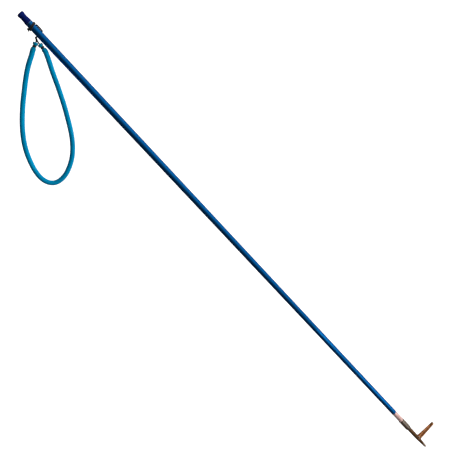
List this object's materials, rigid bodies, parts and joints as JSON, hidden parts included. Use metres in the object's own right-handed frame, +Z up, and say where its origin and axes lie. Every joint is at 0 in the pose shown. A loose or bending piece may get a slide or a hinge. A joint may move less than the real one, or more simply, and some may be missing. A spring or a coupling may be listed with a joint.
{
  "type": "pole spear",
  "caption": "Hand spear: blue metal pole with a rubber butt plug, a tubing sling loop on a cord bridle, and a screw-on point with a folding hinged barb.",
  "frame": {"origin": "centre of the butt plug's flat rear end, on the pole's axis", "axes": "+X along the pole towards the point, +Y towards the open barb, the sling loop lies on the -Y side, +Z up with the spear lying flat"},
  "size_m": [1.511, 0.263, 0.018],
  "materials": {
    "pole_blue": "glossy blue anodised, light fine scratches",
    "plug_navy": "satin moulded rubber",
    "cord_black": "braided cord",
    "band_teal": "glossy translucent-looking latex tubing",
    "ferrule_silver": "turned, bright, slightly pink",
    "seal_black": "matte rubber",
    "stud_steel": "plain steel",
    "coupling_grey": "dull grey-brown steel with worn corners",
    "shaft_bronze": "dark bronze-brown finish",
    "barb_bronze": "bronze-brown finish, bright ground end",
    "rivet_steel": "peened steel"
  },
  "bodies": {
    "pole": {"pole_tube": "pole_blue", "butt_plug": "plug_navy", "cord_wrap": "cord_black", "tether_cord": "cord_black", "front_ferrule": "ferrule_silver"},
    "seal": {"seal_ring": "seal_black"},
    "head": {"threaded_stud": "stud_steel", "hex_adaptor": "coupling_grey", "tip_shaft": "shaft_bronze", "barb_rivet": "rivet_steel"},
    "barb": {"barb": "barb_bronze"},
    "bridle": {"bridle_cord": "cord_black"},
    "sling_head": {"ligature_left": "cord_black", "ligature_right": "cord_black", "stopper_knot_left": "cord_black", "stopper_knot_right": "cord_black"},
    "band": {"sling_band": "band_teal"}
  },
  "joints": [
    {"name": "head_advance", "type": "slide", "parent": "pole", "child": "seal", "axis": [1, 0, 0], "range_m": [0, 0.0127]},
    {"name": "head_turn", "type": "hinge", "parent": "seal", "child": "head", "pos_m": [1.3764, 0, 0], "axis": [1, 0, 0], "range_deg": [0, 3240]},
    {"name": "barb_pivot", "type": "hinge", "parent": "head", "child": "barb", "pos_m": [1.4676, 0, 0], "axis": [0, 0, 1], "range_deg": [-6, 76]},
    {"name": "bridle_swing", "type": "hinge", "parent": "pole", "child": "bridle", "pos_m": [0.05, -0.00895, 0], "axis": [0, 0, 1], "range_deg": [-85, 2]},
    {"name": "sling_sway", "type": "hinge", "parent": "bridle", "child": "sling_head", "pos_m": [0.059, -0.01335, -0.0006], "axis": [1, 0, 0], "range_deg": [-75, 75]},
    {"name": "band_draw", "type": "slide", "parent": "sling_head", "child": "band", "axis": [0.8137, -0.5813, 0], "range_m": [0, 0.28], "stiffness_N_per_m": 60, "deforming": ["sling_band"]}
  ],
  "couplings": [
    {"joint": "head_turn", "follows": "head_advance", "rad_per_m": 4452.6}
  ]
}
